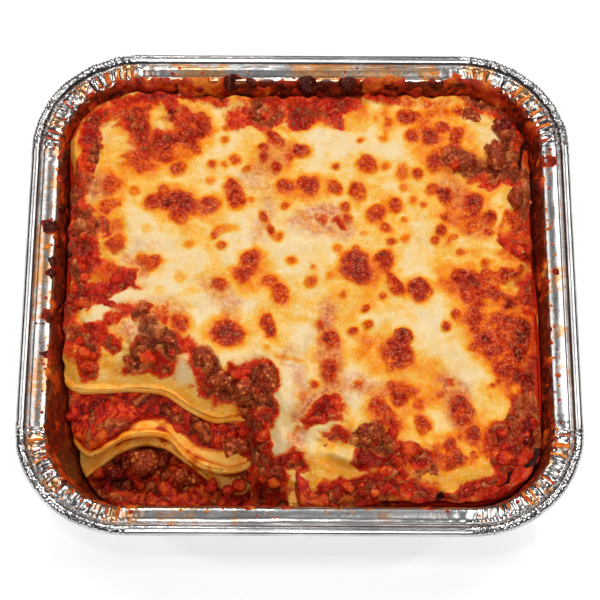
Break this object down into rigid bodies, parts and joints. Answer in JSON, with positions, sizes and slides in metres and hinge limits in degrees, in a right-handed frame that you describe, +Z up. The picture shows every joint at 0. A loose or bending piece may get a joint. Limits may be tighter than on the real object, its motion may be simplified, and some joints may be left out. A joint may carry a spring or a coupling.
{
  "type": "foil tray meal",
  "caption": "Baked lasagne in a foil tray with pleated corners; its front left has slumped, so pasta sheets and meat sauce show.",
  "frame": {"origin": "middle of the tray's flat base, on the surface it stands on", "axes": "+X to the right across the wider way of the tray, +Y to the back, away from the slumped front edge, +Z up"},
  "size_m": [0.22, 0.211, 0.0471],
  "materials": {
    "foil": "bright wrinkled foil with baked-on sauce",
    "pasta": "cooked pasta, soft and slightly oily",
    "meat_sauce": "wet tomato and meat sauce",
    "baked_cheese": "melted cheese with browned spots, slightly oily",
    "minced_meat": "browned minced meat, grainy and damp",
    "tomato": "cooked tomato, wet"
  },
  "bodies": {
    "root": {"foil_tray": "foil", "meat_sauce_base": "meat_sauce", "pasta_sheet_lower": "pasta", "meat_sauce_lower": "meat_sauce", "pasta_sheet_middle": "pasta", "meat_sauce_upper": "meat_sauce", "pasta_sheet_top": "pasta", "baked_cheese_topping": "baked_cheese", "meat_under_arch": "minced_meat", "meat_on_base_left": "minced_meat", "meat_on_middle_sheet": "minced_meat", "meat_left_rear": "minced_meat", "meat_left_middle": "minced_meat", "meat_left_front": "minced_meat", "meat_left_right": "minced_meat", "meat_front": "minced_meat", "meat_rear_right_inner": "minced_meat", "meat_rear_right_outer": "minced_meat", "meat_right_rear": "minced_meat", "meat_rear": "minced_meat", "tomato_on_base": "tomato", "tomato_right_corner": "tomato", "tomato_rear_corner": "tomato", "tomato_rear_left": "tomato"}
  },
  "joints": []
}
